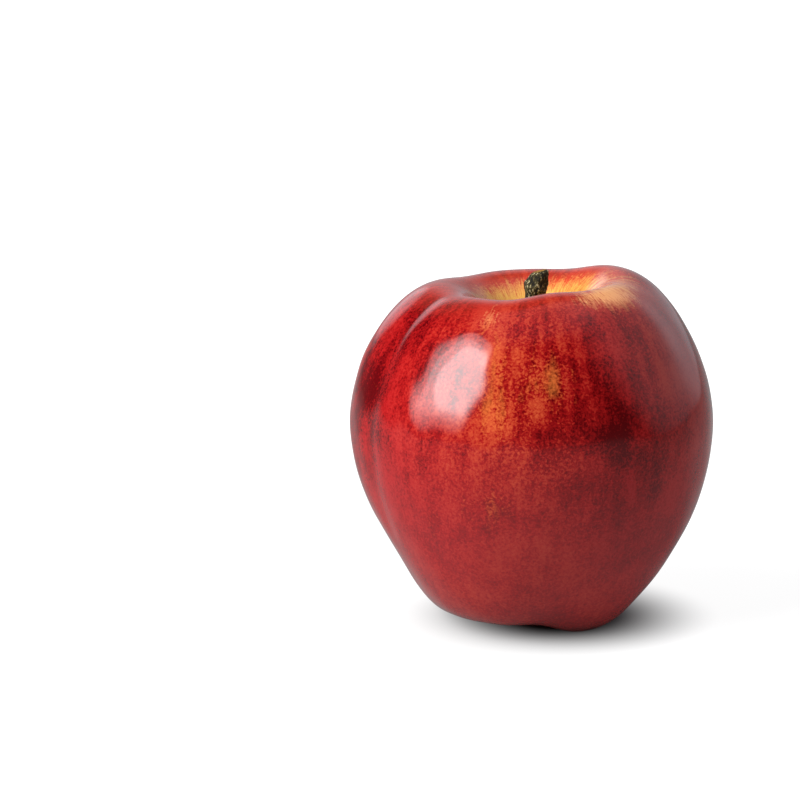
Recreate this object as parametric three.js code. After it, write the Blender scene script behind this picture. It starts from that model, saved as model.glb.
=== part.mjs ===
// An apple as picked: the fruit, its stem, and what is left of the flower in the basin underneath.
// Millimetres, +Z up along the core. The origin is the middle of the base, on the surface that the
// apple stands on. An azimuth is in degrees seen from above, from the front (-Y) towards +X.
import * as THREE from "three";
import { mergeVertices } from "three/addons/utils/BufferGeometryUtils.js";

// The fruit, as the turned shape that its lobes then swell
const girthRadius = 38.2; // the widest part
const girthHeight = 42;
const crestRadius = 19; // the shoulders, a ring round the stem cavity
const crestHeight = 70;
const cavityFloor = 56.5;
const cavityFunnel = 3.6; // how wide the cavity is before its wall climbs
const cavityBrim = 9; // how far inside the crest the wall levels out
const shoulderReach = 10; // roundness of the shoulder: outwards from the crest,
const shoulderDrop = 12; // and upwards from the girth
const flankDrop = 16; // roundness of the flank: downwards from the girth,
const flankReach = 12.5; // and outwards from the foot
const footRadius = 14; // the ring that the five feet stand on
const basinFloor = 6.5;
const basinRim = 6; // roundness of the basin: inwards from the foot,
const basinFlat = 5; // and outwards from the calyx tube
const axisCalm = 6; // within this radius the lobes fade out, so that both ends stay round
const outlineSteps = 11; // fineness of each curve of the profile,
const roundSteps = 60; // and of the turn round the core

// Its five lobes, from the front right one round to the right, and the grooves that follow them.
// shoulder and foot lift a lobe's top and bottom, reach moves its foot outwards, and bulge
// changes its flank, as a share of the radius. The front left lobe hangs clear of the table.
const firstLobe = 45;
const lobes = [
  { shoulder: 2.0, foot: -0.9, bulge: 0, reach: 0 },
  { shoulder: 3.4, foot: -0.8, bulge: 0, reach: 0 },
  { shoulder: 0.6, foot: -0.8, bulge: 0, reach: 0 },
  { shoulder: 0.7, foot: -0.8, bulge: -0.09, reach: 0 },
  { shoulder: 0, foot: 2.7, bulge: 0, reach: 3.0 },
];
// flank, crest and base are a groove's depth as a share of the radius; notch lifts it off the
// table, and dip is how far the crest sinks there
const grooves = [
  { flank: 0.008, crest: 0.02, base: 0.09, notch: 2.0, dip: 0.5 },
  { flank: 0.008, crest: 0.02, base: 0.09, notch: 2.0, dip: 0.5 },
  { flank: 0.008, crest: 0.02, base: 0.09, notch: 2.0, dip: 0.5 },
  { flank: 0.02, crest: 0.02, base: 0, notch: 0.3, dip: 0.5 },
  { flank: 0.006, crest: 0.02, base: 0.05, notch: 0.9, dip: -0.7 },
];
const grooveWidth = 1.5; // more than 1 leaves the lobes broad and makes the grooves narrow
const highFade = 2; // how fast a lobe's effect grows from the girth up to the crest,
const lowFade = 4; // and from the girth down to the foot
const bulgeHeight = 10; // where the flank's bulge is greatest, and how far it spreads
const bulgeSpread = 13;
const lobeBlend = 4; // sharpness of the change from one lobe to the next, and between grooves
const grooveBlend = 6;

// The stem stands in a short socket, and the flower's remains in the calyx tube
const seatGap = 0.3; // between pieces that touch
const stemTop = 73.8;
const stemNeck = 1.65; // radius low down
const stemKnob = 2.6; // radius of the swelling below the scar where it left the spur,
const knobDepth = 2.6; // how far under the top that is,
const knobTaper = 1.6; // how far under that the stem starts to widen,
const scarRadius = 1.6; // and the radius of the scar on top
const stemShaft = 9; // length of the even part above the cavity's floor
const socketDepth = 2.5;
const stemLean = 1.4; // how far its top leans towards +X,
const leanBend = 4; // and how late on the way up the lean begins
const tubeRadius = 1.9;
const tubeDepth = 4;
const stamenReach = 3.4; // how far the stamens stick out under the tube,
const stamenTip = 0.5; // the radius of the tuft's tip,
const stamenTaper = 1; // and over which height its side slopes, to either side of the tube's mouth
const sepalLength = 5.6;
const sepalWidth = 2.8;
const sepalThickness = 0.5;
const sepalRing = 2.9; // radius of the sepals' roots
const sepalRoot = 5.8; // their height, just under the basin
const sepalCurl = 1.3; // how far the middle of a sepal leans in over the tube
const sepalBend = 0.8; // at 1 its tip comes back in line with its root
const sepalDroop = 0.82; // share of its length that it hangs down

const lobeCount = lobes.length;
const turn = 2 * Math.PI;
const radians = THREE.MathUtils.degToRad;
const lobeStep = turn / lobeCount;
const socketRadius = stemNeck + seatGap;
const socketFloor = cavityFloor - socketDepth;

const colours = { skin: 0xa6241f, stem: 0x4a3b1e, sepal: 0x6b4c2e, stamen: 0x3f2a1a };

// A value given lobe by lobe, or groove by groove, made smooth all the way round
function blendRound(list, key, azimuth, first, sharpness) {
  let sum = 0;
  let weights = 0;
  list.forEach((item, i) => {
    const weight = Math.exp(sharpness * (Math.cos(azimuth - first - i * lobeStep) - 1));
    sum += weight * item[key];
    weights += weight;
  });
  return sum / weights;
}

// Where a point of the turned shape goes once the lobes have swollen it. Nothing sinks below the
// table, which is what flattens the feet.
function swell(point) {
  const radius = Math.hypot(point.x, point.y);
  const azimuth = Math.atan2(point.x, -point.y);
  const z = point.z;
  const first = radians(firstLobe);
  const firstGroove = first + lobeStep / 2;
  const lobe = (key) => blendRound(lobes, key, azimuth, first, lobeBlend);
  const groove = (key) => blendRound(grooves, key, azimuth, firstGroove, grooveBlend);

  const groovy = ((1 - Math.cos(lobeCount * (azimuth - first))) / 2) ** grooveWidth;
  const calm = 1 - Math.exp(-((radius / axisCalm) ** 2));
  const high = Math.max(0, (z - girthHeight) / (crestHeight - girthHeight)) ** highFade * calm;
  const low = Math.max(0, (girthHeight - z) / girthHeight) ** lowFade * calm;
  const middle = Math.exp(-(((z - bulgeHeight) / bulgeSpread) ** 2)) * calm;

  const depth = groove("flank") * calm + groove("crest") * high + groove("base") * low;
  const swollen = radius * (1 - depth * groovy + lobe("bulge") * middle) + lobe("reach") * low;
  const rise = lobe("shoulder") - groove("dip") * groovy;
  const clearance = lobe("foot") + groove("notch") * groovy;
  const lift = rise * high + clearance * low;
  point.set(swollen * Math.sin(azimuth), -swollen * Math.cos(azimuth), Math.max(0, z + lift));
}

// A closed body turned round +Z from a profile of (radius, height), bottom to top, with each
// vertex then moved by a function
function turned(points, segments, move) {
  const lathe = new THREE.LatheGeometry(points, segments).rotateX(Math.PI / 2);
  return moved(lathe, move);
}

function moved(source, move) {
  source.deleteAttribute("normal");
  source.deleteAttribute("uv");
  const body = mergeVertices(source, 1e-4);
  const position = body.attributes.position;
  const point = new THREE.Vector3();
  for (let i = 0; i < position.count; i++) {
    point.fromBufferAttribute(position, i);
    move(point);
    position.setXYZ(i, point.x, point.y, point.z);
  }
  body.computeVertexNormals();
  return body;
}

function mesh(name, geometry, color, roughness) {
  const material = new THREE.MeshStandardMaterial({ color, roughness, metalness: 0 });
  const made = new THREE.Mesh(geometry, material);
  made.name = name;
  return made;
}

// Calyx tube, basin, foot, flank, girth, shoulder, crest, stem cavity and socket, in that order
function fruit() {
  const outline = new THREE.Path();
  const tubeRoof = basinFloor + tubeDepth;
  outline.moveTo(0, tubeRoof);
  outline.lineTo(tubeRadius, tubeRoof);
  outline.lineTo(tubeRadius, basinFloor);
  outline.bezierCurveTo(
    tubeRadius + basinFlat, basinFloor, footRadius - basinRim, 0, footRadius, 0);
  outline.bezierCurveTo(
    footRadius + flankReach, 0, girthRadius, girthHeight - flankDrop, girthRadius, girthHeight);
  outline.bezierCurveTo(
    girthRadius, girthHeight + shoulderDrop,
    crestRadius + shoulderReach, crestHeight, crestRadius, crestHeight);
  outline.bezierCurveTo(
    crestRadius - cavityBrim, crestHeight,
    socketRadius + cavityFunnel, cavityFloor, socketRadius, cavityFloor);
  outline.lineTo(socketRadius, socketFloor);
  outline.lineTo(0, socketFloor);
  return turned(outline.getPoints(outlineSteps), roundSteps, swell);
}

// Thin where it grows out of the fruit, swollen below the scar where it broke off the tree
function stem() {
  const foot = socketFloor + seatGap;
  const knobHeight = stemTop - knobDepth;
  const outline = new THREE.Path();
  outline.moveTo(0, foot);
  outline.lineTo(stemNeck, foot);
  outline.lineTo(stemNeck, cavityFloor + stemShaft);
  outline.bezierCurveTo(
    stemNeck, knobHeight - 2 * knobTaper, stemKnob, knobHeight - knobTaper, stemKnob, knobHeight);
  outline.bezierCurveTo(
    stemKnob, (knobHeight + 2 * stemTop) / 3, (stemKnob + scarRadius) / 2, stemTop,
    scarRadius, stemTop);
  outline.lineTo(0, stemTop);
  const lean = (point) => {
    const up = Math.max(0, (point.z - cavityFloor) / (stemTop - cavityFloor));
    point.x += stemLean * up ** leanBend;
  };
  return turned(outline.getPoints(5), 20, lean);
}

// A dried sepal: a pointed leaf that hangs from the basin, closes over the tube and curls out
function sepal() {
  const leaf = new THREE.Shape();
  leaf.moveTo(-sepalWidth / 2, 0);
  leaf.quadraticCurveTo(-sepalWidth / 2, -sepalLength / 2, 0, -sepalLength);
  leaf.quadraticCurveTo(sepalWidth / 2, -sepalLength / 2, sepalWidth / 2, 0);
  const slab = new THREE.ExtrudeGeometry(leaf, {
    depth: sepalThickness, bevelEnabled: false, curveSegments: 5 });
  return moved(slab.rotateX(Math.PI / 2), (point) => {
    const down = point.z / -sepalLength;
    point.y += sepalCurl * Math.sin(Math.PI * sepalBend * down);
    point.z *= sepalDroop;
  });
}

// The shrivelled stamens, packed in the calyx tube with their ends sticking out
function stamens() {
  const packed = tubeRadius - seatGap;
  const shoulder = (stamenTip + 3 * packed) / 4;
  const tip = basinFloor - stamenReach;
  const tubeRoof = basinFloor + tubeDepth - seatGap;
  const outline = new THREE.Path();
  outline.moveTo(0, tip);
  outline.lineTo(stamenTip, tip);
  outline.lineTo(shoulder, basinFloor - stamenTaper);
  outline.lineTo(packed, basinFloor + stamenTaper);
  outline.lineTo(packed, tubeRoof);
  outline.lineTo(0, tubeRoof);
  return turned(outline.getPoints(1), 12, () => {});
}

const apple = new THREE.Group();
apple.add(mesh("fruit", fruit(), colours.skin, 0.3));
apple.add(mesh("stem", stem(), colours.stem, 0.8));
apple.add(mesh("stamens", stamens(), colours.stamen, 0.9));
for (let i = 0; i < lobeCount; i++) {
  const azimuth = radians(firstLobe) + i * lobeStep;
  const piece = mesh(`sepal_${i + 1}`, sepal(), colours.sepal, 0.9);
  piece.position.set(
    sepalRing * Math.sin(azimuth), -sepalRing * Math.cos(azimuth), sepalRoot);
  piece.rotation.z = azimuth;
  apple.add(piece);
}

// The base's middle goes to the origin
const box = new THREE.Box3().setFromObject(apple, true);
const middle = box.getCenter(new THREE.Vector3());
apple.position.set(-middle.x, -middle.y, 0);

export default apple;
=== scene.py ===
# %% [markdown]
# # A red apple, from measured body to finished picture
#
# The apple's size, its feet and its stem come from a solid model in model.glb, loaded as a fixed
# frame. This lesson keeps that frame as it is and gives every piece its fine surface and its skin:
# the waxed fruit, the woody stem, and the dried remains of the flower underneath.

import bpy
import numpy as np
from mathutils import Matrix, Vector


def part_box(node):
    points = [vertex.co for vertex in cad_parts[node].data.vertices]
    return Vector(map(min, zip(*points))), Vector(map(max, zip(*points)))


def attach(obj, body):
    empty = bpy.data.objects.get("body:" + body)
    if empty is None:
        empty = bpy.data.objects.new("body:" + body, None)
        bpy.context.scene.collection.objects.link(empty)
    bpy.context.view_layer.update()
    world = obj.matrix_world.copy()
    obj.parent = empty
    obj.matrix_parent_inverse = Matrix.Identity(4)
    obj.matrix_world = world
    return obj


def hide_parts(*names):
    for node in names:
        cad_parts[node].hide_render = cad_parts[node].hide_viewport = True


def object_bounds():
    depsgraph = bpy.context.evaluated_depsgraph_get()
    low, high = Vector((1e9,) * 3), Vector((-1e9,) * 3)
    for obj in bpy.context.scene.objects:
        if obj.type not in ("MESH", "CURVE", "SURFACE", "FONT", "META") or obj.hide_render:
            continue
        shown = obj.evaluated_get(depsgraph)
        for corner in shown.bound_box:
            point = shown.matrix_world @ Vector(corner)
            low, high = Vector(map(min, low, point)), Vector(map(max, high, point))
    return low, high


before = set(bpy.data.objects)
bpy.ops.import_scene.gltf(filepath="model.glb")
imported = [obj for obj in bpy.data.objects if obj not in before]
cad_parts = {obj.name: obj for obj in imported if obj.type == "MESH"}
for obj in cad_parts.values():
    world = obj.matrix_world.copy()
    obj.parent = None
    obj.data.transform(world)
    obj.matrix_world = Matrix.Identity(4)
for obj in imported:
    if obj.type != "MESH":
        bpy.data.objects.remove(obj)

frame_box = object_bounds()
print("frame box, m:", [tuple(round(x, 4) for x in corner) for corner in frame_box])

# %% [markdown]
# ## Helpers that every piece shares
#
# Blender works in metres and in linear light. People think of an apple in millimetres, and of its
# colours as the hex values that a paint program shows, so two tiny helpers translate.

# %% Millimetres and colours
MM = 0.001
TURN = 2 * np.pi


def linear(hex_colour):
    """Turns an sRGB hex value into the linear RGBA that Blender's nodes expect."""
    channels = np.array([(hex_colour >> shift) & 255 for shift in (16, 8, 0)]) / 255
    low, high = channels / 12.92, ((channels + 0.055) / 1.055) ** 2.4
    return (*np.where(channels <= 0.04045, low, high).tolist(), 1.0)


print("a mid grey of 0x808080 is linear", round(linear(0x808080)[0], 3))

# %% [markdown]
# ## One way to make a closed piece
#
# Every piece here grew round an axis: the fruit, the stem, each sepal and each stamen. So each is
# a stack of rings, from a point at one end to a point at the other. One function turns such a
# stack into a mesh. The two ends are single vertices, so that the surface is closed and seamless.

# %% Rings into a closed mesh
def piece_from_rings(name, rings, **fields):
    """Skins a stack of rings, an array (ring, step round, xyz) in metres, with the first and the
    last ring shrunk to a point. Faces run anticlockwise seen from outside when the rings turn
    anticlockwise seen from the last one. fields are values per ring point, kept as attributes."""
    count, round_steps = rings.shape[:2]
    inner = count - 2
    points = np.vstack([rings[:1, 0], rings[1:-1].reshape(-1, 3), rings[-1:, 0]])
    step = np.arange(round_steps)
    after = np.roll(step, -1)
    row = 1 + round_steps * np.arange(inner)[:, None]
    quads = np.stack([row[:-1] + step, row[:-1] + after, row[1:] + after, row[1:] + step], -1)
    last = len(points) - 1
    first_fan = np.stack([0 * step, 1 + after, 1 + step], -1)
    last_fan = np.stack([row[-1] + step, row[-1] + after, 0 * step + last], -1)
    corners = np.concatenate([first_fan.ravel(), quads.ravel(), last_fan.ravel()])
    fan_sides, quad_sides = np.full(round_steps, 3), np.full(quads.size // 4, 4)
    sides = np.concatenate([fan_sides, quad_sides, fan_sides])

    mesh = bpy.data.meshes.new(name)
    mesh.vertices.add(len(points))
    mesh.vertices.foreach_set("co", points.astype(np.float32).ravel())
    mesh.loops.add(len(corners))
    mesh.loops.foreach_set("vertex_index", corners.astype(np.int32))
    mesh.polygons.add(len(sides))
    mesh.polygons.foreach_set("loop_start", (np.cumsum(sides) - sides).astype(np.int32))
    mesh.update(calc_edges=True)
    mesh.polygons.foreach_set("use_smooth", np.ones(len(sides), dtype=bool))
    for field, values in fields.items():
        depth = values.shape[2] if values.ndim == 3 else 1
        flat = values.reshape(count, round_steps, depth)
        flat = np.vstack([flat[:1, 0], flat[1:-1].reshape(-1, depth), flat[-1:, 0]])
        kind, slot = ("FLOAT_VECTOR", "vector") if depth == 3 else ("FLOAT", "value")
        made = mesh.attributes.new(field, kind, "POINT")
        made.data.foreach_set(slot, flat.astype(np.float32).ravel())
    mesh.validate()
    piece = bpy.data.objects.new(name, mesh)
    bpy.context.collection.objects.link(piece)
    print(name, "has", len(points), "points,", int((sides - 2).sum()), "triangles")
    return piece


# %% [markdown]
# ## The fruit's shape
#
# A botanist describes an apple by its profile: the cavity where the stem sits, the shoulders, the
# girth, the flanks that narrow to the base, and the basin with the calyx. This one is a conic apple
# with five lobes, one for each seed chamber, and a tall shoulder on its right.
#
# One could sculpt it, or shrink a grid onto the solid. Working the surface out from the same few
# measures as the solid is exact, and it can be made as fine as the light needs. So: a profile of
# Bezier curves is turned round the axis, and a smooth formula swells the lobes.

# %% The turned profile
GIRTH_RADIUS, GIRTH_HEIGHT = 38.2, 42.0
CREST_RADIUS, CREST_HEIGHT = 19.0, 70.0
CAVITY_FLOOR, SOCKET_RADIUS, SOCKET_DEPTH = 56.5, 1.95, 2.5
FOOT_RADIUS, BASIN_FLOOR = 14.0, 6.5
TUBE_RADIUS, TUBE_DEPTH = 1.9, 4.0


def bezier(start, pull_start, pull_end, end, count):
    """Points along a cubic Bezier curve: the four corners weighted by (1-t)^3, 3t(1-t)^2,
    3t^2(1-t) and t^3, without the last one."""
    t = np.linspace(0, 1, count, endpoint=False)[:, None]
    corners = np.array([start, pull_start, pull_end, end], dtype=float)
    return np.hstack([(1 - t) ** 3, 3 * t * (1 - t) ** 2, 3 * t * t * (1 - t), t**3]) @ corners


def fruit_profile():
    """Radius and height in mm from the calyx tube's roof, through the basin, foot, flank, girth,
    shoulder and crest, down the stem cavity to the floor of the stem's socket."""
    roof, sunk = BASIN_FLOOR + TUBE_DEPTH, CAVITY_FLOOR - SOCKET_DEPTH
    tube = (TUBE_RADIUS, BASIN_FLOOR)
    foot, girth = (FOOT_RADIUS, 0), (GIRTH_RADIUS, GIRTH_HEIGHT)
    crest, cavity = (CREST_RADIUS, CREST_HEIGHT), (SOCKET_RADIUS, CAVITY_FLOOR)
    tube_corner, socket_corner = (TUBE_RADIUS, roof), (SOCKET_RADIUS, sunk)
    below_girth, above_girth = (GIRTH_RADIUS, GIRTH_HEIGHT - 16), (GIRTH_RADIUS, GIRTH_HEIGHT + 12)
    before_crest, after_crest = (CREST_RADIUS + 10, CREST_HEIGHT), (CREST_RADIUS - 9, CREST_HEIGHT)
    return np.vstack([
        [(0, roof)],
        bezier((TUBE_RADIUS * 0.8, roof), tube_corner, tube_corner, tube, 5),
        bezier(tube, (TUBE_RADIUS + 5, BASIN_FLOOR), (FOOT_RADIUS - 6, 0), foot, 30),
        bezier(foot, (FOOT_RADIUS + 12.5, 0), below_girth, girth, 72),
        bezier(girth, above_girth, before_crest, crest, 62),
        bezier(crest, after_crest, (SOCKET_RADIUS + 3.6, CAVITY_FLOOR), cavity, 44),
        bezier(cavity, socket_corner, socket_corner, (SOCKET_RADIUS * 0.8, sunk), 5),
        [(0, sunk)],
    ])


profile = fruit_profile()
print("profile points:", len(profile), "widest", profile[:, 0].max(), "mm")

# %% [markdown]
# The lobes come next. Each value below belongs to one lobe, or to the groove after it, and a
# weighted mean carries it smoothly to its neighbours. Azimuths run from the front (-Y) towards +X.

# %% Lobes and grooves
FIRST_LOBE, LOBE_STEP = np.radians(45), TURN / 5
LOBE_BLEND, GROOVE_BLEND = 4, 6
CALM_RADIUS = 6  # nearer the axis than this, the lobes die away
FOOT_BULGE_HEIGHT, FOOT_BULGE_REACH = 10, 13
SHOULDER_GROOVE = 0.02
shoulder_rise = [2.0, 3.4, 0.6, 0.7, 0]
foot_lift = [-0.9, -0.8, -0.8, -0.8, 2.7]
flank_bulge = [0, 0, 0, -0.09, 0]
foot_reach = [0, 0, 0, 0, 3.0]
groove_flank = [0.008, 0.008, 0.008, 0.02, 0.006]
groove_base = [0.09, 0.09, 0.09, 0, 0.05]
groove_notch = [2.0, 2.0, 2.0, 0.3, 0.9]
groove_dip = [0.5, 0.5, 0.5, 0.5, -0.7]


def blend_round(values, azimuth, first, sharpness):
    """The mean of the five values, each weighted by e to the power of sharpness times
    (cos of the angle to its own azimuth - 1)."""
    centres = first + LOBE_STEP * np.arange(5)
    weights = np.exp(sharpness * (np.cos(azimuth[..., None] - centres) - 1))
    return (weights * values).sum(-1) / weights.sum(-1)


def swollen(radius, height, azimuth):
    """Moves the turned shape to the lobed one: the radius shrinks in the grooves and the shoulders
    and feet rise or sink, each faded in by height. Nothing goes below the table."""
    first_groove = FIRST_LOBE + LOBE_STEP / 2

    def lobe(values):
        return blend_round(values, azimuth, FIRST_LOBE, LOBE_BLEND)

    def groove(values):
        return blend_round(values, azimuth, first_groove, GROOVE_BLEND)

    groovy = ((1 - np.cos(5 * (azimuth - FIRST_LOBE))) / 2) ** 1.5
    calm = 1 - np.exp(-((radius / CALM_RADIUS) ** 2))
    high = np.maximum(0, (height - GIRTH_HEIGHT) / (CREST_HEIGHT - GIRTH_HEIGHT)) ** 2 * calm
    low = np.maximum(0, (GIRTH_HEIGHT - height) / GIRTH_HEIGHT) ** 4 * calm
    middle = np.exp(-(((height - FOOT_BULGE_HEIGHT) / FOOT_BULGE_REACH) ** 2)) * calm
    depth = groove(groove_flank) * calm + SHOULDER_GROOVE * high + groove(groove_base) * low
    wide = radius * (1 - depth * groovy + lobe(flank_bulge) * middle) + lobe(foot_reach) * low
    rise = high * (lobe(shoulder_rise) - groove(groove_dip) * groovy)
    rise = rise + low * (lobe(foot_lift) + groove(groove_notch) * groovy)
    return wide, height + rise


# %% [markdown]
# A real apple is never as even as a formula. Slow swells of a tenth of a millimetre are enough to
# make the reflections wander, and one narrow crease runs down the left flank between two lobes.

# %% Small unevenness
CREASE_AT, CREASE_HALF_WIDTH, CREASE_DEPTH = np.radians(-62), 0.09, 0.55  # radians, mm


def unevenness(x, y, z):
    """A sum of slow waves in three directions, about 0.1 mm high and 9 to 25 mm long."""
    return (
        0.10 * np.sin(x / 3.9 + 1.0) * np.sin(y / 4.6 + 2.0) * np.sin(z / 5.5)
        + 0.07 * np.sin(x / 2.3 + z / 4.1) * np.sin(y / 2.7 - z / 6.0 + 0.7)
        + 0.03 * np.sin(x / 1.5 - y / 1.9 + 0.4) * np.sin(z / 2.2 + 1.3)
    )


def crease(azimuth, height):
    """Depth in mm of the crease: a bell curve across, faded in and out along the flank."""
    across = np.angle(np.exp(1j * (azimuth - CREASE_AT)))
    along = np.clip((height - 12) / 25, 0, 1) * np.clip((72 - height) / 6, 0, 1)
    return CREASE_DEPTH * np.exp(-((across / CREASE_HALF_WIDTH) ** 2)) * along


# %% [markdown]
# Every point also gets its place on the skin, so that colour can follow the fruit as it grew: how
# far round the girth it lies, and how far up the skin. The first is kept as a point on a circle,
# which has no seam.

# %% Build the fruit's skin
ROUND_STEPS = 396
azimuth = np.linspace(0, TURN, ROUND_STEPS, endpoint=False)[None, :]
radius, height = profile[:, :1], profile[:, 1:]
wide, tall = swollen(radius, height, azimuth)
outside = np.clip((radius - TUBE_RADIUS) / 6, 0, 1)
wide = wide - crease(azimuth, height) * outside
x, y = wide * np.sin(azimuth), -wide * np.cos(azimuth)
wide = wide + unevenness(x, y, tall) * outside
rings = np.stack([wide * np.sin(azimuth), -wide * np.cos(azimuth), np.maximum(0, tall)], -1)

fruit_low, fruit_high = (np.array(corner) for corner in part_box("fruit"))
shift = (fruit_low + fruit_high) / 2 / MM - (rings.min((0, 1)) + rings.max((0, 1))) / 2
shift[2] = 0
length = np.concatenate([[0], np.cumsum(np.hypot(*np.diff(profile, axis=0).T))])
up_skin = (length - length[np.argmax(profile[:, 0])])[:, None] + 0 * azimuth
skin_map = np.stack(np.broadcast_arrays(
    GIRTH_RADIUS * np.sin(azimuth), -GIRTH_RADIUS * np.cos(azimuth), up_skin), -1)
size = (rings.max((0, 1)) - rings.min((0, 1))).round(2)
print("fruit, mm:", size, "in the frame:", ((fruit_high - fruit_low) / MM).round(2))
print("moved by", shift.round(3), "mm to sit where the frame's fruit is")
print("up the skin, mm:", up_skin.min().round(1), "to", up_skin.max().round(1))

# %% [markdown]
# ## Where the sun reached, and painted light and shade
#
# An apple starts green and yellow. Where the sun reaches it, a red blush grows over that ground
# colour, in streaks that run from stem to base. It stays thin where a leaf shaded the fruit and in
# the cavity, and grows dark where the light was strongest. Noise alone would spread this evenly, so
# the large patches are listed, each as a soft spot in degrees round and millimetres up the skin,
# and the far side gets its own from a seeded draw.

# %% Patches of ground colour, of deep blush, and of painted shade and sheen
def spots(table):
    """The sum of soft spots. Each row gives azimuth, millimetres up the skin, half-width in
    degrees, half-height in mm and strength, and is a bell curve in both directions."""
    total = 0 * up_skin
    for at, up, across, along, strength in table:
        off = np.degrees(np.angle(np.exp(1j * (azimuth - np.radians(at)))))
        total = total + strength * np.exp(-((off / across) ** 2) - ((up_skin - up) / along) ** 2)
    return total


def fade(value, start, end):
    """0 before start, 1 after end, and a smooth S between them."""
    t = np.clip((value - start) / (end - start), 0, 1)
    return t * t * (3 - 2 * t)


FAR_SPOTS, FAR_BARE = 9, 4  # spots on the far side, and how many of them are bare
draw = np.random.default_rng(11)
far_ranges = [(95, 265), (-25, 28), (5, 13), (4, 10), (0.25, 0.6)]
far_side = np.stack([draw.uniform(low, high, FAR_SPOTS) for low, high in far_ranges], -1)

# Ground colour that shows: the front, the gold patch on the right shoulder, the cavity, the basin.
bare = spots([
    (-20, 29, 7, 5, 0.45), (-13, 20, 4, 7, 0.45), (-12, 8, 6, 6, 0.5), (4, 15, 9, 6, 0.35),
    (40, 33, 19, 4.2, 0.7), (58, 35, 22, 4.5, 0.6), (84, 39, 44, 5, 0.3),
    (-14, -10, 14, 6, 0.2), *far_side[:FAR_BARE],
])
bare = bare + 1.25 * fade(up_skin, 38, 50) + 0.7 * fade(-up_skin, 50, 58)
hairy = 0.15 + 0.85 * fade(up_skin, 24, 33)

# Deep blush and painted shade: the dark strip right of the middle is blush; the left flank and the
# lower right are also darkened as painted shade, and the negative spot on the right flank is a
# painted fill light on its shaded side.
deep = spots([
    (26, 18, 5, 16, 0.65), (28, 2, 9, 8, 0.5), (-55, 28, 12, 5, 0.5), (-62, 16, 14, 16, 0.3),
    (-40, 14, 4, 7, 0.5), (-72, 8, 15, 18, 0.75), (9, 2, 10, 4, 0.4), (62, 14, 20, 26, -0.5),
    (42, -16, 26, 16, 0.35), (34, 4, 12, 14, 0.3), *far_side[FAR_BARE:],
])
# Lower half and right flank: wax bloom, and a painted sheen of the pale table and walls they
# mirror.
dusty = np.clip(fade(-up_skin, -8, 22) + spots([(68, 20, 22, 16, 0.9)]), 0, 1)

# Crimson rather than orange red: the flanks and the lower half, but not the sunny middle.
crimson = np.clip(0.5 + spots([
    (-64, 10, 24, 34, 0.45), (-30, 34, 22, 5, 0.3), (28, 10, 12, 24, 0.35), (66, 10, 24, 34, 0.1),
    (-4, 12, 17, 14, -0.5), (48, -14, 32, 22, 0.35), (-45, -14, 30, 16, 0.2),
]), 0, 1)
fruit_skin = piece_from_rings(
    "fruit_skin", (rings + shift) * MM, skin_map=skin_map, bare=bare, deep=deep, dusty=dusty,
    hairy=hairy, crimson=crimson)

# %% [markdown]
# ## Node helper
#
# A material is a chain of small nodes. One function adds a node, sets it and links it, so that each
# chain below reads like a sum.

# %% Node helper
FACTOR, FIRST, SECOND, MIXED = 0, 6, 7, 2  # sockets of a colour Mix node
PER_METRE = 1000  # Object coordinates come in metres, and the patterns are in mm


def add(tree, kind, inputs=None, **settings):
    """Adds one shader node. inputs gives, by socket name or number, a value or the output that
    feeds it, and settings are the node's own switches."""
    made = tree.nodes.new("ShaderNode" + kind)
    for name, value in settings.items():
        setattr(made, name, value)
    for key, value in (inputs or {}).items():
        if isinstance(value, bpy.types.NodeSocket):
            tree.links.new(value, made.inputs[key])
        else:
            made.inputs[key].default_value = value
    return made


def new_material(name):
    """A material with an empty node tree and its output node."""
    material = bpy.data.materials.new(name)
    material.use_nodes = True
    material.node_tree.nodes.clear()
    return material, material.node_tree, add(material.node_tree, "OutputMaterial")


# %% [markdown]
# ## Waxed apple skin
#
# The skin is a thin wax film over cells with red sap. The film is smooth and gives one clear, sharp
# reflection: a coat. Underneath, the sap lies in tiny worm-shaped grains, half a millimetre wide,
# dark red on orange red, gathered into streaks that run from stem to base.
#
# A painted picture would give this too, but nodes keep it sharp at any distance. Fine grain reads
# Object coordinates, in mm. The streaks read the place on the skin, squeezed along its length.

# %% Grain, streaks, hairs and blotches
GRAIN_PER_MM, HAIRS_PER_MM, STREAKS_PER_MM, BLOTCHES_PER_MM = 1.9, 1.6, 0.36, 0.12
STRETCH = 0.2  # the skin's length counts a fifth, so streaks are five times as long as wide

skin, tree, output = new_material("waxed_apple_skin")
surface = add(tree, "Attribute", attribute_name="skin_map")
place = add(tree, "TexCoord")
in_mm = add(tree, "Mapping", {"Vector": place.outputs["Object"], "Scale": (PER_METRE,) * 3})
along_skin = add(tree, "Mapping", {"Vector": surface.outputs["Vector"],
                                   "Scale": (1, 1, STRETCH)})
in_mm, along_skin = in_mm.outputs[0], along_skin.outputs[0]
grain = add(tree, "TexNoise", {"Vector": in_mm, "Scale": GRAIN_PER_MM, "Detail": 3,
                               "Roughness": 0.55, "Distortion": 0.6}).outputs[0]
streaks = add(tree, "TexNoise", {"Vector": along_skin, "Scale": STREAKS_PER_MM, "Detail": 3,
                                 "Roughness": 0.55}).outputs[0]
hairs = add(tree, "TexNoise", {"Vector": along_skin, "Scale": HAIRS_PER_MM, "Detail": 2,
                               "Roughness": 0.6}).outputs[0]
blotches = add(tree, "TexNoise", {"Vector": in_mm, "Scale": BLOTCHES_PER_MM, "Detail": 4,
                                  "Roughness": 0.6}).outputs[0]
print("widths in mm: grain", round(1 / GRAIN_PER_MM, 1), "hairs", round(1 / HAIRS_PER_MM, 1),
      "streaks", round(1 / STREAKS_PER_MM, 1), "blotches", round(1 / BLOTCHES_PER_MM, 1))


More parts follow.
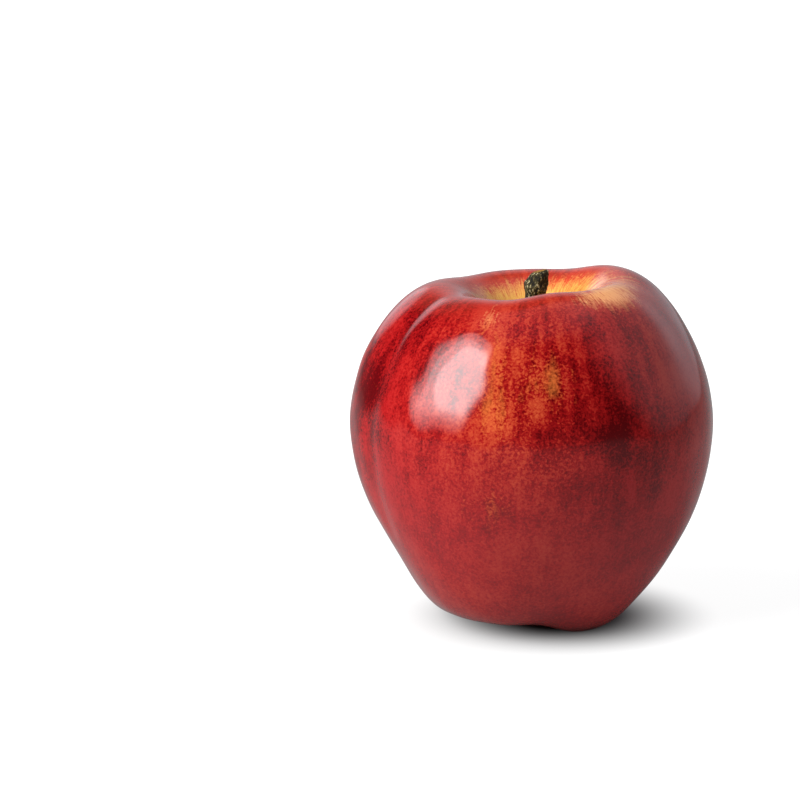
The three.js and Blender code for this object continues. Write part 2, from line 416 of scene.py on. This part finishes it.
def weigh(tree, start, *terms):
    """start + the sum of weight * (value - middle) for each (value, middle, weight)."""
    total = start
    for value, middle, weight in terms:
        term = add(tree, "Math", {0: value, 1: -middle}, operation="ADD").outputs[0]
        total = add(tree, "Math", {0: term, 1: weight, 2: total},
                    operation="MULTIPLY_ADD").outputs[0]
    return total


# %% Deep blush on light blush
bare_here, deep_here, dusty_here, hairy_here, crimson_here = (
    add(tree, "Attribute", attribute_name=name).outputs["Fac"]
    for name in ("bare", "deep", "dusty", "hairy", "crimson"))
calm = add(tree, "MapRange", {"Value": dusty_here, "To Min": 1.0, "To Max": 0.45}).outputs[0]
streaks_here = add(tree, "Math", {0: streaks, 1: -0.5}, operation="ADD").outputs[0]
streaks_here = add(tree, "Math", {0: streaks_here, 1: calm}, operation="MULTIPLY").outputs[0]
# Deep blush with its painted shade darkens the skin, and bare ground lightens it.
dark = weigh(tree, 0.5, (grain, 0.5, 2.1), (streaks_here, 0, 1.6), (blotches, 0.5, 1.7),
             (deep_here, 0, 0.5), (bare_here, 0, -0.4))
light_half = add(tree, "MapRange", {"Value": dark, "From Min": -0.1, "From Max": 0.55}).outputs[0]
dark_half = add(tree, "MapRange", {"Value": dark, "From Min": 0.45, "From Max": 1.1}).outputs[0]
blush = add(tree, "Mix", {FACTOR: crimson_here, FIRST: linear(0xA84326), SECOND: linear(0x8A1019)},
            data_type="RGBA").outputs[MIXED]
blush = add(tree, "Mix", {FACTOR: light_half, FIRST: blush, SECOND: linear(0x840F10)},
            data_type="RGBA").outputs[MIXED]
blush = add(tree, "Mix", {FACTOR: dark_half, FIRST: blush, SECOND: linear(0x480205)},
            data_type="RGBA").outputs[MIXED]

# %% [markdown]
# The ground colour is orange on the flanks, pale gold high on the shoulders and yellow in the
# cavity. Where the blush thins out, the ground shows between the hairs in fine radial tufts.

# %% Ground colour through the blush
up_here = add(tree, "SeparateXYZ", {0: surface.outputs["Vector"]}).outputs["Z"]
inside = add(tree, "MapRange", {"Value": up_here, "From Min": 27, "From Max": 48}).outputs[0]
shoulder = add(tree, "MapRange", {"Value": up_here, "From Min": 26, "From Max": 32}).outputs[0]
ground = add(tree, "Mix", {FACTOR: shoulder, FIRST: linear(0xBE6A30), SECOND: linear(0xD28C62)},
             data_type="RGBA").outputs[MIXED]
ground = add(tree, "Mix", {FACTOR: inside, FIRST: ground, SECOND: linear(0xC09440)},
             data_type="RGBA").outputs[MIXED]
tufts = add(tree, "Math", {0: hairs, 1: -0.5}, operation="ADD").outputs[0]
tufts = add(tree, "Math", {0: tufts, 1: hairy_here}, operation="MULTIPLY").outputs[0]
bare_most = add(tree, "Math", {0: bare_here, 1: 1.0}, operation="MINIMUM").outputs[0]
tufts = add(tree, "Math", {0: tufts, 1: bare_most}, operation="MULTIPLY").outputs[0]
showing = weigh(tree, -0.22, (bare_here, 0, 0.95), (tufts, 0, 2.4), (streaks, 0.5, 0.8),
                (grain, 0.5, -0.7), (blotches, 0.5, 0.5))
showing = add(tree, "MapRange", {"Value": showing, "From Min": 0.05, "From Max": 0.75}).outputs[0]
# Lighter salmon blush towards the cavity: thinner blush, and a painted haze of the wax's
# reflection.
pale_blush_and_painted_haze = add(tree, "Math", {0: inside, 1: 0.6}, operation="MULTIPLY").outputs[0]
blush = add(tree, "Mix", {FACTOR: pale_blush_and_painted_haze, FIRST: blush, SECOND: linear(0xB5442E)},
            data_type="RGBA").outputs[MIXED]
colour = add(tree, "Mix", {FACTOR: showing, FIRST: blush, SECOND: ground},
             data_type="RGBA").outputs[MIXED]
# The mix towards dusty pink: wax bloom and painted sheen.
dust = add(tree, "Math", {0: dusty_here, 1: 0.42}, operation="MULTIPLY").outputs[0]
colour = add(tree, "Mix", {FACTOR: dust, FIRST: colour, SECOND: linear(0x862C2E)},
             data_type="RGBA").outputs[MIXED]

# %% [markdown]
# Wax has an index of refraction near 1.4. The film carries the only mirror reflection, and the
# skin under it is matt. Tiny pores, a fiftieth of a millimetre deep, dimple the matt skin under it.

# %% Wax film
PORE_DEPTH = 0.02
dulled = add(tree, "MapRange", {"Value": blotches, "From Min": 0.3, "From Max": 0.7,
                                "To Min": 0.42, "To Max": 0.55})
pores = add(tree, "Bump", {"Height": grain, "Distance": PORE_DEPTH * MM, "Strength": 0.5})
wax = add(tree, "BsdfPrincipled", {
    "Base Color": colour, "Roughness": dulled.outputs[0], "Specular IOR Level": 0.0,
    "Normal": pores.outputs[0], "Coat Weight": 1.0, "Coat Roughness": 0.11, "Coat IOR": 1.38})
tree.links.new(wax.outputs[0], output.inputs["Surface"])


# %% [markdown]
# A finished piece rides on the frame's one body and takes the place of the solid that it refines.

# %% Hand a piece over to the frame
def finish(piece, material, slot, *nodes):
    """Gives a piece its material, puts it on the frame's body and hides the solids it replaces."""
    piece.data.materials.append(material)
    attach(piece, "root")
    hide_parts(*nodes)


finish(fruit_skin, skin, "waxed_apple_skin", "fruit")

# %% [markdown]
# ## The stem
#
# The stem is a woody stalk, thin where it leaves the fruit and thick at its knob, where it once
# grew on the spur. It dried after picking, so it is lumpy and wrinkled, with facets and a pale scar
# on top. It is the same stack of rings, with a radius that depends on height and on direction.

# %% The stem's thickness along its length
NECK_RADIUS, KNOB_RADIUS, STEM_TOP, STEM_LEAN = 1.65, 2.6, 73.8, 1.4
STEM_RINGS, STEM_STEPS = 130, 120
RELIEF_HEIGHT, CAP_DOME = 0.18, 0.35
stem_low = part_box("stem")[0][2] / MM
turn_round = np.linspace(0, TURN, STEM_STEPS, endpoint=False)[None, :]
rise = np.linspace(0, 1, STEM_RINGS)[:, None]
stem_height = stem_low + (STEM_TOP - CAP_DOME - stem_low) * rise
thick = NECK_RADIUS + (KNOB_RADIUS - NECK_RADIUS) * fade(stem_height, 66, 71)
thick = thick * (1 - 0.35 * fade(stem_height, 71, 74))
free = fade(stem_height, 57, 60)
print("the stem runs from", round(stem_low, 1), "to", STEM_TOP, "mm")


# %% Lumps, folds and wrinkles
def lumps(around, up):
    """Relief of the dried stalk, about 1 high and low: three broad lumps that wind upwards, sharp
    folds where two lumps meet, and fine wrinkles along the stalk."""
    broad = np.sin(2 * around + 0.55 * up + 0.8) + 0.8 * np.sin(3 * around - 0.8 * up + 2.0)
    folds = 1 - 2 * np.abs(np.sin(1.5 * around + 0.35 * up + 1.1 * np.sin(0.9 * up)))
    nodes = np.sin(1.9 * up + 1.6 * np.sin(around + 0.7))
    wrinkles = np.sin(17 * around + 1.3 * np.sin(1.4 * up)) * np.sin(2.3 * up + 3 * around)
    return 0.3 * broad + 0.25 * folds + 0.3 * nodes + 0.12 * wrinkles


relief = lumps(turn_round, stem_height)
print("relief goes from", relief.min().round(2), "to", relief.max().round(2))

# %% Build the stem
stem_radius = thick * (1 + RELIEF_HEIGHT * relief * (0.25 + 0.75 * free))
tip = fade(stem_height, 73.1, 73.45)
stem_radius = stem_radius * (1 - 0.25 * tip)
lean = STEM_LEAN * np.clip((stem_height - CAVITY_FLOOR) / (STEM_TOP - CAVITY_FLOOR), 0, 1) ** 4
stem_x = stem_radius * np.sin(turn_round) + lean
stem_y = -stem_radius * np.cos(turn_round)
slant = 0.22 * (stem_x - lean) * fade(stem_height, 70, 73.4)
stem_rings = np.stack([stem_x, stem_y, stem_height + slant], -1)
shrink = np.array([0.9, 0.6, 0.3])[:, None, None]
cap_middle = stem_rings[-1].mean(0) - (0, 0, 0.25)
cap = cap_middle + (stem_rings[-1] - cap_middle) * shrink
nothing = 0 * stem_rings[:1]
foot_middle = stem_rings[0].mean(0)
stem_rings = np.concatenate([nothing + foot_middle, stem_rings, cap, nothing + cap_middle])
scar = np.concatenate([0 * relief[:1], 0 * relief, np.ones((len(cap) + 1, STEM_STEPS))])
relief = np.concatenate([relief[:1], relief, relief[-1:], relief[-1:] * 0.5, relief[-2:] * 0])
stalk = piece_from_rings("stalk", (stem_rings + shift) * MM, relief=relief, scar=scar)
print("stalk, mm:", (stem_rings.max((0, 1)) - stem_rings.min((0, 1))).round(2))

# %% [markdown]
# Dried bark is dark olive brown, with flecks of paler wood in tan and cream. Its colour follows the
# relief too, dark in the hollows and pale on the lumps: partly where it was rubbed, partly painted
# shade and painted highlight. It is rough, with a faint shine on the ridges from handling.

# %% Woody stem
bark, tree, output = new_material("woody_stem")
place = add(tree, "TexCoord")
in_mm = add(tree, "Mapping", {"Vector": place.outputs["Object"],
                              "Scale": (PER_METRE, PER_METRE, 0.6 * PER_METRE)})
flecks = add(tree, "TexNoise", {"Vector": in_mm.outputs[0], "Scale": 2.0, "Detail": 5,
                                "Roughness": 0.7}).outputs[0]
raised, on_scar = (add(tree, "Attribute", attribute_name=name).outputs["Fac"]
                   for name in ("relief", "scar"))
# Paler on the lumps and darker in the hollows: wear, and painted highlight and painted shade.
wear_and_painted_light = weigh(tree, 0.3, (raised, 0, 0.3), (flecks, 0.5, 4.8))
low = add(tree, "MapRange", {"Value": wear_and_painted_light, "From Min": 0.0, "From Max": 0.55}).outputs[0]
high = add(tree, "MapRange", {"Value": wear_and_painted_light, "From Min": 0.6, "From Max": 1.0}).outputs[0]
wood = add(tree, "Mix", {FACTOR: low, FIRST: linear(0x0E0C06), SECOND: linear(0x433A1A)},
           data_type="RGBA").outputs[MIXED]
wood = add(tree, "Mix", {FACTOR: high, FIRST: wood, SECOND: linear(0xD2C698)},
           data_type="RGBA").outputs[MIXED]
wood = add(tree, "Mix", {FACTOR: on_scar, FIRST: wood, SECOND: linear(0x8A6428)},
           data_type="RGBA").outputs[MIXED]
ridges = add(tree, "Bump", {"Height": flecks, "Distance": 0.7 * MM, "Strength": 1.0})
stalk_bsdf = add(tree, "BsdfPrincipled", {"Base Color": wood, "Roughness": 0.65,
                                          "Specular IOR Level": 0.2, "Normal": ridges.outputs[0]})
tree.links.new(stalk_bsdf.outputs[0], output.inputs["Surface"])
finish(stalk, bark, "woody_stem", "stem")

# %% [markdown]
# ## What is left of the flower
#
# Five sepals once held the blossom. They dried to small leathery points that close over the calyx
# tube and curl outwards at their tips. Each is a flat ring stack: an ellipse, wide and thin,
# carried along a curved midrib. The stamens inside are threads with a bead at the end.

# %% Build the sepals
SEPAL_LENGTH, SEPAL_WIDTH, SEPAL_THICKNESS = 5.6, 2.8, 0.5
SEPAL_RING, SEPAL_ROOT = 2.9, 5.8  # how far from the axis and how high it is rooted
SEPAL_RINGS, SEPAL_STEPS = 60, 48


def sepal_rings(tilt):
    """Rings across one sepal, from root to tip, in its own frame: x across it, y away from the
    tube, z up. The midrib leans in over the tube as a sine, then out; the edges cup and crinkle."""
    t = np.linspace(0, 1, SEPAL_RINGS)[:, None]
    a = np.linspace(0, TURN, SEPAL_STEPS, endpoint=False)[None, :]
    half_width = SEPAL_WIDTH / 2 * np.sqrt(np.clip(1 - t**1.6, 0, 1))
    half_width = half_width * (0.85 + 0.15 * np.cos(TURN * t))
    half_thick = SEPAL_THICKNESS / 2 * np.clip(1 - t**3, 0, 1) ** 0.5
    across, through = half_width * np.cos(a), half_thick * np.sin(a)
    cup = 0.22 * (across / (SEPAL_WIDTH / 2)) ** 2
    crinkle = 0.07 * np.sin(9 * t + 3 * across + tilt) * np.abs(across)
    crinkle = crinkle + 0.05 * np.sin(21 * t + tilt)
    rib = -1.3 * np.sin(np.pi * 0.8 * t) * (1 + 0.1 * np.sin(tilt))
    sideways = across + 0.25 * np.sin(tilt) * t**2
    down = -0.82 * SEPAL_LENGTH * t + 0 * a
    return np.stack([sideways, rib + through + cup + crinkle, down], -1)


# %% [markdown]
# A dried sepal is papery leather: grey brown, with darker veins along its length, and quite matt.

# %% Dried sepal
dried, tree, output = new_material("dried_sepal")
place = add(tree, "TexCoord")
in_mm = add(tree, "Mapping", {"Vector": place.outputs["Object"],
                              "Scale": (PER_METRE, PER_METRE, 0.4 * PER_METRE)})
veins = add(tree, "TexNoise", {"Vector": in_mm.outputs[0], "Scale": 1.8, "Detail": 4,
                               "Roughness": 0.7}).outputs[0]
browned = add(tree, "MapRange", {"Value": veins, "From Min": 0.35, "From Max": 0.65}).outputs[0]
leather = add(tree, "Mix", {FACTOR: browned, FIRST: linear(0x3A2A18), SECOND: linear(0x8C7350)},
              data_type="RGBA").outputs[MIXED]
wrinkled = add(tree, "Bump", {"Height": veins, "Distance": 0.15 * MM, "Strength": 0.6})
sepal_bsdf = add(tree, "BsdfPrincipled", {
    "Base Color": leather, "Roughness": 0.85, "Specular IOR Level": 0.25,
    "Normal": wrinkled.outputs[0]})
tree.links.new(sepal_bsdf.outputs[0], output.inputs["Surface"])

# %% [markdown]
# Each sepal stands at the azimuth of one lobe, and its own tilt makes it a little different.

# %% Place the five sepals
for i in range(5):
    at = FIRST_LOBE + LOBE_STEP * i
    own = sepal_rings(1.7 * i)[::-1]
    out = np.array([np.sin(at), -np.cos(at), 0])
    side = np.array([np.cos(at), np.sin(at), 0])
    placed = (SEPAL_RING + own[..., 1:2]) * out + own[..., :1] * side
    placed = placed + (SEPAL_ROOT + own[..., 2:]) * (0, 0, 1)
    ends = placed[[0, -1]].mean(1, keepdims=True) + 0 * placed[:1]
    placed = np.concatenate([ends[:1], placed[1:-1], ends[1:]])
    leaf = piece_from_rings(f"dried_sepal_{i + 1}", (placed + shift) * MM)
    finish(leaf, dried, "dried_sepal", f"sepal_{i + 1}")

# %% [markdown]
# The stamens are one piece: twenty threads, each the same stack of rings along its own bent line.
# They start spread over the tube's roof, each one golden angle on from the last, as seeds do in a
# sunflower, so that no two of them share a place.

# %% Build the stamens
THREADS, THREAD_STEPS, THREAD_RINGS = 20, 10, 22
THREAD_RADIUS, BEAD_SWELL, BEAD_AT, BEAD_REACH = 0.13, 0.14, 0.9, 0.06
GOLDEN_ANGLE = 2.39996


def stamen_rings():
    """Rings of all threads at once, an array (thread, ring, step, xyz). A thread starts in the
    tube, bends like a parabola and ends in a bead, where the radius swells as a bell curve."""
    draw = np.random.default_rng(5)
    i = np.arange(THREADS)[:, None, None]
    t = np.linspace(0, 1, THREAD_RINGS)[None, :, None]
    a = np.linspace(0, TURN, THREAD_STEPS, endpoint=False)[None, None, :]
    start = 1.25 * np.sqrt((i + 0.5) / THREADS)
    at = GOLDEN_ANGLE * i
    drop = draw.uniform(2.6, 5.4, (THREADS, 1, 1))
    bend = draw.uniform(-0.5, 0.35, (THREADS, 1, 1))
    swing = draw.uniform(-0.5, 0.5, (THREADS, 1, 1))
    thread = THREAD_RADIUS * np.sqrt(np.clip(1 - (2 * t - 1) ** 16, 0, 1))
    thread = thread + BEAD_SWELL * np.exp(-(((t - BEAD_AT) / BEAD_REACH) ** 2)) * (t < 1)
    middle_r = start * (1 - 0.45 * t) + bend * t**2
    middle_x = middle_r * np.sin(at + swing * t)
    middle_y = -middle_r * np.cos(at + swing * t)
    x, y = middle_x + thread * np.sin(a), middle_y - thread * np.cos(a)
    z = BASIN_FLOOR + TUBE_DEPTH - 0.5 - drop * t
    return np.stack(np.broadcast_arrays(x, y, z), -1)


threads = stamen_rings()[:, ::-1]
print("stamens reach down to", threads[..., 2].min().round(2), "mm")

# %% [markdown]
# Dried threads are straw brown, mottled darker, and have no gloss.

# %% Dried stamens
husk, tree, output = new_material("dried_stamens")
place = add(tree, "TexCoord")
in_mm = add(tree, "Mapping", {"Vector": place.outputs["Object"], "Scale": (PER_METRE,) * 3})
mottle = add(tree, "TexNoise", {"Vector": in_mm.outputs[0], "Scale": 1.4, "Detail": 3}).outputs[0]
straw = add(tree, "Mix", {FACTOR: mottle, FIRST: linear(0x24170C), SECOND: linear(0x6B4E2A)},
            data_type="RGBA").outputs[MIXED]
husk_bsdf = add(tree, "BsdfPrincipled", {"Base Color": straw, "Roughness": 0.8,
                                         "Specular IOR Level": 0.25})
tree.links.new(husk_bsdf.outputs[0], output.inputs["Surface"])

# %% [markdown]
# Twenty separate meshes would be twenty pieces, so they are joined: the tuft comes off as one.

# %% Join the threads into one tuft
parts = [piece_from_rings(f"thread_{i}", (one + shift) * MM) for i, one in enumerate(threads)]
with bpy.context.temp_override(active_object=parts[0], selected_editable_objects=parts):
    bpy.ops.object.join()
tuft = parts[0]
tuft.name = "stamen_tuft"
finish(tuft, husk, "dried_stamens", "stamens")

# %% [markdown]
# ## Table and light
#
# Fruit is often shown on a white table that glows from below, with one large softbox to the side.
# The table's own light keeps the floor white and lets only a short shadow stand: it glows less
# round the feet, a painted contact shadow, and more on the right and behind, painted light in the
# softbox's cast shadow. The softbox gives the one bright window on the wax. The front stays dark,
# so that the skin keeps its colour there, and pale walls behind give both edges their thin silver
# line.
#
# A real table would be hidden from the wax by black cards, or its mirror image would turn the lower
# half milky. The Light Path node does the same: in mirror reflections the glow is dimmed.

# %% Floor
TABLE_SIZE = 12
PAINTED_SHADOW_MIDDLE, PAINTED_SHADOW_DARK, PAINTED_SHADOW_CLEAR = (0.006, -0.0002, 0), 0.011, 0.035
LIT_TOWARDS, SHADE_EDGE, SHADE_GLOW, LIT_GLOW = (0.93, 0.37, 0), 0.03, 0.82, 0.93
BACK_REACH, BACK_GLOW, MIRRORED_GLOW = 0.4, 0.2, 0.15
bpy.ops.mesh.primitive_plane_add(size=TABLE_SIZE)
floor = bpy.context.object
floor.name = "white_table"
paper, tree, output = new_material("glowing_table")
place = add(tree, "TexCoord").outputs["Object"]
# The glow fades towards the apple's feet: a painted contact shadow.
away = add(tree, "VectorMath", {0: place, 1: PAINTED_SHADOW_MIDDLE}, operation="DISTANCE").outputs["Value"]
near = add(tree, "MapRange", {"Value": away, "From Min": PAINTED_SHADOW_DARK, "From Max": PAINTED_SHADOW_CLEAR},
           interpolation_type="SMOOTHSTEP").outputs[0]
# Stronger glow on the right and behind, where the softbox's shadow falls: painted light.
painted_shadow_fill = add(tree, "VectorMath", {0: place, 1: LIT_TOWARDS}, operation="DOT_PRODUCT").outputs["Value"]
painted_shadow_fill = add(tree, "MapRange", {"Value": painted_shadow_fill, "From Min": -SHADE_EDGE, "From Max": SHADE_EDGE,
                             "To Min": SHADE_GLOW, "To Max": LIT_GLOW},
          interpolation_type="SMOOTHSTEP").outputs[0]
back = add(tree, "SeparateXYZ", {0: place}).outputs["Y"]
back = add(tree, "MapRange", {"Value": back, "From Min": 0.0, "From Max": BACK_REACH,
                              "To Max": BACK_GLOW}).outputs[0]
glow = add(tree, "Math", {0: painted_shadow_fill, 1: near}, operation="MULTIPLY").outputs[0]
glow = add(tree, "Math", {0: glow, 1: back}, operation="ADD").outputs[0]
mirrored = add(tree, "LightPath").outputs["Is Glossy Ray"]
dimmed = add(tree, "MapRange", {"Value": mirrored, "To Min": 1.0,
                                "To Max": MIRRORED_GLOW}).outputs[0]
glow = add(tree, "Math", {0: glow, 1: dimmed}, operation="MULTIPLY").outputs[0]
matte = add(tree, "BsdfDiffuse", {"Color": linear(0x686868)})
light = add(tree, "Emission", {"Strength": glow})
both = add(tree, "AddShader", {0: matte.outputs[0], 1: light.outputs[0]})
tree.links.new(both.outputs[0], output.inputs["Surface"])
paper.cycles.emission_sampling = "NONE"  # so large a lamp needs no sampling of its own
floor.data.materials.append(paper)

# %% [markdown]
# The softbox is three panels, one in front of the other, so that it is brightest in its heart and
# fades outwards, as cloth in front of a lamp does. Each panel's edges fade too.

# %% Softbox
middle = (frame_box[0] + frame_box[1]) / 2


def panel(name, azimuth, low, high, half_width, distance, radiance):
    """An upright softbox that faces the apple's axis, with soft rounded edges: its light fades
    with the sum of the fourth powers of the distances from its middle. It stands at an azimuth and
    a distance in metres, and reaches from a low to a high elevation and half_width degrees to each
    side, all seen from the apple's middle. A radiance of 1 is as bright as a white screen."""
    way = Vector((np.sin(np.radians(azimuth)), -np.cos(np.radians(azimuth)), 0))
    bottom, top = (distance * np.tan(np.radians(angle)) for angle in (low, high))
    lamp = bpy.data.lights.new(name, "AREA")
    lamp.shape = "RECTANGLE"
    lamp.size, lamp.size_y = 2 * distance * np.tan(np.radians(half_width)), top - bottom
    lamp.energy = radiance * np.pi * lamp.size * lamp.size_y
    lamp.use_nodes = True
    tree = lamp.node_tree
    tree.nodes.clear()
    cloth = add(tree, "NewGeometry").outputs["Parametric"]
    cloth = add(tree, "VectorMath", {0: cloth, 1: (2, 2, 0), 2: (-1, -1, 0)},
                operation="MULTIPLY_ADD").outputs[0]
    for _ in range(2):
        cloth = add(tree, "VectorMath", {0: cloth, 1: cloth}, operation="MULTIPLY").outputs[0]
    fourth = add(tree, "VectorMath", {0: cloth, 1: (1, 1, 0)},
                 operation="DOT_PRODUCT").outputs["Value"]
    soft = add(tree, "MapRange", {"Value": fourth, "From Min": 1.0, "From Max": 0.4},
               interpolation_type="SMOOTHSTEP")
    glow = add(tree, "Emission", {"Strength": soft.outputs[0]})
    add(tree, "OutputLight", {"Surface": glow.outputs[0]})
    made = bpy.data.objects.new(name, lamp)
    made.location = middle + way * distance + Vector((0, 0, (bottom + top) / 2))
    made.rotation_mode = "QUATERNION"
    made.rotation_quaternion = way.to_track_quat("Z", "Y")
    bpy.context.collection.objects.link(made)
    print(name, round(lamp.size, 2), "x", round(lamp.size_y, 2), "m,", round(lamp.energy), "W")


panel("softbox", -64, 2, 65, 30, 1.0, 4.8)
panel("softbox_core", -61, 10, 59, 25, 0.98, 5.6)
panel("softbox_heart", -55, 15, 55, 19, 0.96, 8.4)

# %% [markdown]
# The walls matter only where the wax mirrors them: behind the apple on both sides, high on the
# right, and overhead. Everything else is nearly black, which keeps the reds deep.

# %% Studio walls
world = bpy.data.worlds.new("studio")
bpy.context.scene.world = world
world.use_nodes = True
tree = world.node_tree
tree.nodes.clear()
ways = add(tree, "TexCoord").outputs["Generated"]


def glow_towards(azimuth, elevation, edge, core, strength):
    """Light from around one direction: it grows as a smooth S from edge degrees off it to core
    degrees off it, and reaches strength there."""
    a, e = np.radians(azimuth), np.radians(elevation)
    aim = (np.sin(a) * np.cos(e), -np.cos(a) * np.cos(e), np.sin(e))
    near = add(tree, "VectorMath", {0: ways, 1: aim}, operation="DOT_PRODUCT").outputs["Value"]
    return add(tree, "MapRange", {
        "Value": near, "From Min": np.cos(np.radians(edge)), "From Max": np.cos(np.radians(core)),
        "To Max": strength}, interpolation_type="SMOOTHSTEP").outputs[0]


up = add(tree, "SeparateXYZ", {0: ways}).outputs["Z"]
total = add(tree, "MapRange", {"Value": up, "From Min": -0.05, "From Max": 0.45,
                               "To Min": 0.08, "To Max": 0.0},
            interpolation_type="SMOOTHSTEP").outputs[0]
wall_glows = [
    (165, 5, 46, 24, 0.5), (108, 38, 50, 24, 0.7), (-157, 14, 15, 7, 0.9),
    (-165, 30, 24, 10, 0.1), (0, 90, 32, 15, 0.5),
]
for glow in wall_glows:
    total = add(tree, "Math", {0: glow_towards(*glow), 1: total}, operation="ADD").outputs[0]
COOL_WHITE = (0.92, 0.94, 1.0, 1.0)
sky = add(tree, "Background", {"Color": COOL_WHITE, "Strength": total})
add(tree, "OutputWorld", {"Surface": sky.outputs[0]})

# %% [markdown]
# The camera looks down a little, so that the rim of the cavity and the stem both show, and aims to
# the left of the apple and above its middle, which leaves an open space beside it.

# %% Camera
DISTANCE, LOOK_DOWN, LENS = 0.6, np.radians(12.5), 128.5
centre = Vector((0, 0, 0.036))
aim_left, aim_above = -0.0276, 0.0097
forward = Vector((0, np.cos(LOOK_DOWN), -np.sin(LOOK_DOWN)))
above = Vector((0, np.sin(LOOK_DOWN), np.cos(LOOK_DOWN)))
camera = bpy.data.objects.new("camera", bpy.data.cameras.new("camera"))
bpy.context.collection.objects.link(camera)
camera.location = centre - forward * DISTANCE
aim = centre + Vector((aim_left, 0, 0)) + above * aim_above
camera.rotation_mode = "QUATERNION"
camera.rotation_quaternion = (aim - camera.location).to_track_quat("-Z", "Y")
camera.data.lens = LENS
bpy.context.scene.camera = camera
bpy.context.scene.view_settings.view_transform = "Standard"
print("camera", round((camera.location - centre).length, 3), "m away, lens", LENS, "mm")
